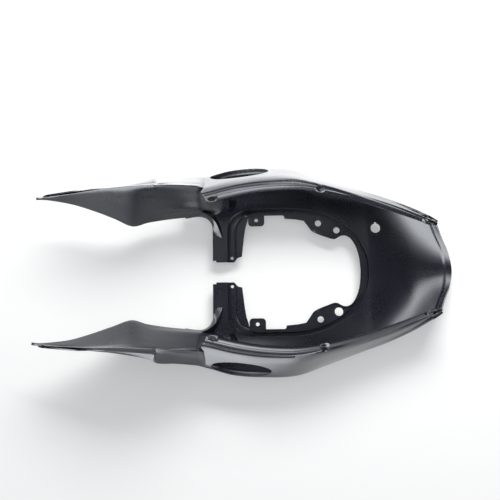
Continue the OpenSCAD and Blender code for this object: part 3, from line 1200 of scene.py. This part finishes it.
    def zones(self, body: bpy.types.Object) -> None:
        """Give each face of the shell its finish, from where it is."""
        s, form = self.sizes, self.form
        body_start, channel_end = s.bar_x - 14, 436
        rim_top, channel_low, channel_band = 58, 48, (0.07, 0.36)
        for face in body.data.polygons:
            x, y, z = face.center.x, abs(face.center.y), face.center.z
            if x < body_start:
                if y > form.arm_ledge.at(x / s.arm_l)[0] - 1:
                    face.material_index = Zone.GLOSS.value
                continue
            if self.rim_extra(face.center) > 0.4 * s.rim_h and z < rim_top:
                face.material_index = Zone.RIM.value
            elif x < channel_end and face.normal.z > 0.3 and z > channel_low:
                edge, out = form.body(form.edge, x), form.body(form.widest, x)
                if channel_band[0] < (y - edge[0]) / (out[0] - edge[0]) < channel_band[1]:
                    face.material_index = Zone.FLANGE.value

    def arm(self, side: int) -> bpy.types.Object:
        """Return one arm's skin, the far one's for side 1 and its mirror image for side -1."""
        arm = sheet("arm", self.arm_rows, self.arm_cols, self.arm_point)
        thicken(arm, self.sizes.wall, Zone.INNER.value, Zone.GLOSS.value)
        if side < 0:
            flip(arm)
        return arm

    def dress(self, body: bpy.types.Object) -> None:
        """Give the shell its finishes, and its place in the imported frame."""
        self.zones(body)
        settle(body, self.sizes)
        body.data.materials.clear()
        for zone in Zone:
            body.data.materials.append(FINISHES[zone].material())
        body.data.shade_smooth()
        body.data.set_sharp_from_angle(angle=SHARP_ANGLE)


@dataclass(frozen=True)
class Stage:
    """The floor, the lamp, the world and the camera, in metres and degrees.

    A window is a bright part of the world that only reflections show, bounded by parts of the unit direction.
    """

    focal_px: float = 800.0
    picture_px: float = 500.0
    sensor: float = 36.0
    camera_at: Place = (0.0022, -0.2357, 1.617)
    pitch: float = 9.95
    turn: float = -0.79
    floor_half: float = 6.0
    floor_colour: Place = (0.8, 0.8, 0.79)
    floor_glow: float = 0.29
    # Strengths of the floor's painted reflection, seen by reflected rays only, at the near side and the far
    # side.
    painted_reflection_near: float = 1.7
    painted_reflection_far: float = 7.0
    lamp_at: Place = (0.5, 1.75, 1.15)
    lamp_size: tuple[float, float] = (1.6, 0.8)
    lamp_power: float = 60.0
    sky_colour: Place = (0.93, 0.96, 1.0)
    sky_lit: float = 0.42
    sky_seen: float = 0.09
    backdrop: float = 1.1
    window_low: float = 9.0
    window_high: float = 8.0
    window_near: float = 8.0
    window_near_top: float = 0.12

    def camera(self) -> None:
        """Set the camera at the photograph's viewing angle."""
        data = bpy.data.cameras.new("camera")
        data.sensor_width = self.sensor
        data.lens = self.sensor * self.focal_px / self.picture_px
        cam = bpy.data.objects.new("camera", data)
        cam.location = self.camera_at
        cam.rotation_euler = (math.radians(self.pitch), 0, math.radians(self.turn))
        bpy.context.collection.objects.link(cam)
        bpy.context.scene.camera = cam

    def floor(self) -> None:
        """Lay the pale floor, which also glows for reflected rays only as a painted reflection on the shell.
        """
        bm = bmesh.new()
        bmesh.ops.create_grid(bm, x_segments=1, y_segments=1, size=self.floor_half)
        obj = from_bmesh("floor", bm)
        mat = bpy.data.materials.new("floor")
        mat.use_nodes = True
        mat.node_tree.nodes.clear()
        net = Net(mat.node_tree)
        out = net.add("ShaderNodeOutputMaterial")
        dull = net.add("ShaderNodeBsdfDiffuse", Color=(*self.floor_colour, 1))
        path = net.add("ShaderNodeLightPath").outputs
        where = net.parts("Object")
        # Painted reflection: the floor's glow in reflections, bright far behind the shell and dim at the near
        # side.
        far = net.ramp(where["Y"], 0.16, 0.4, self.painted_reflection_near, self.painted_reflection_far)
        # Painted shadow in that reflection: dimmer towards the front on the near side, where the floor lies
        # in the shell's shadow.
        painted_shadow_ramp = net.ramp(where["X"], -0.02, 0.2, 0.1, 1.0)
        beside = net.math("MAXIMUM", painted_shadow_ramp, net.ramp(where["Y"], 0.1, 0.2, 0, 1))
        mirror = net.times(path["Is Glossy Ray"], net.times(far, beside))
        seen = net.times(path["Is Camera Ray"], self.floor_glow)
        glow = net.add("ShaderNodeEmission", Strength=net.math("ADD", mirror, seen))
        both = net.add("ShaderNodeAddShader")
        net.link(dull.outputs[0], both.inputs[0])
        net.link(glow.outputs[0], both.inputs[1])
        net.link(both.outputs[0], out.inputs["Surface"])
        obj.data.materials.append(mat)

    def lights(self) -> None:
        """Hang a large soft lamp on the far side, which no reflection shows, and set the pale world."""
        data = bpy.data.lights.new("key", "AREA")
        data.shape = "RECTANGLE"
        data.size, data.size_y = self.lamp_size
        data.energy = self.lamp_power
        lamp = bpy.data.objects.new("key", data)
        lamp.location = self.lamp_at
        lamp.rotation_euler = (-Vector(self.lamp_at)).to_track_quat("-Z", "Y").to_euler()
        lamp.visible_glossy = False
        bpy.context.collection.objects.link(lamp)
        bpy.context.scene.world = self.world()

    def world(self) -> bpy.types.World:
        """Return a pale world whose reflected side has two bright far windows and a softer near one."""
        world = bpy.data.worlds.new("world")
        world.use_nodes = True
        world.node_tree.nodes.clear()
        net = Net(world.node_tree)
        path = net.add("ShaderNodeLightPath").outputs
        way = net.parts("Generated")
        far_side = net.ramp(way["Y"], 0.22, 0.45, 0, 1)
        low = net.times(
            net.ramp(way["Z"], 0.1, 0.3, self.window_low, 0), net.ramp(way["X"], 0.0, 0.18, 1, 0.2), far_side,
        )
        high = net.times(
            net.ramp(way["Z"], 0.88, 0.975, self.window_high, 0), net.ramp(way["X"], 0.0, 0.13, 1, 0),
            net.ramp(way["X"], -0.24, -0.1, 0.12, 1), far_side,
        )
        near = net.times(
            net.ramp(way["Y"], -0.4, -0.02, 1, 0),
            net.ramp(way["Z"], 0.7, 0.95, self.window_near, self.window_near_top * self.window_near),
            net.ramp(way["X"], 0.04, 0.2, 1, 0.2),
        )
        windows = net.math("ADD", net.math("MAXIMUM", low, high), near)
        mirror = net.times(path["Is Glossy Ray"], net.math("ADD", windows, self.sky_seen))
        rest = net.times(net.math("SUBTRACT", 1.0, path["Is Glossy Ray"]), self.sky_lit)
        seen = net.times(path["Is Camera Ray"], self.backdrop - self.sky_lit)
        total = net.math("ADD", mirror, net.math("ADD", rest, seen))
        back = net.add("ShaderNodeBackground", Color=(*self.sky_colour, 1), Strength=total)
        net.link(back.outputs[0], net.add("ShaderNodeOutputWorld").inputs["Surface"])
        return world


def main() -> None:
    """Set the stage, build the shell and dress it."""
    logging.basicConfig(level=logging.INFO, format="%(name)s: %(message)s")
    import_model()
    bpy.context.scene.view_settings.view_transform = "Standard"
    stage = Stage()
    stage.camera()
    stage.floor()
    stage.lights()
    shell = Shell(Sizes())
    body = shell.build()
    shell.dress(body)
    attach(body, BODY)
    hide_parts(SHELL_NODE)
    log.info("%s: %d faces", body.name, len(body.data.polygons))


if __name__ == "__main__":
    main()
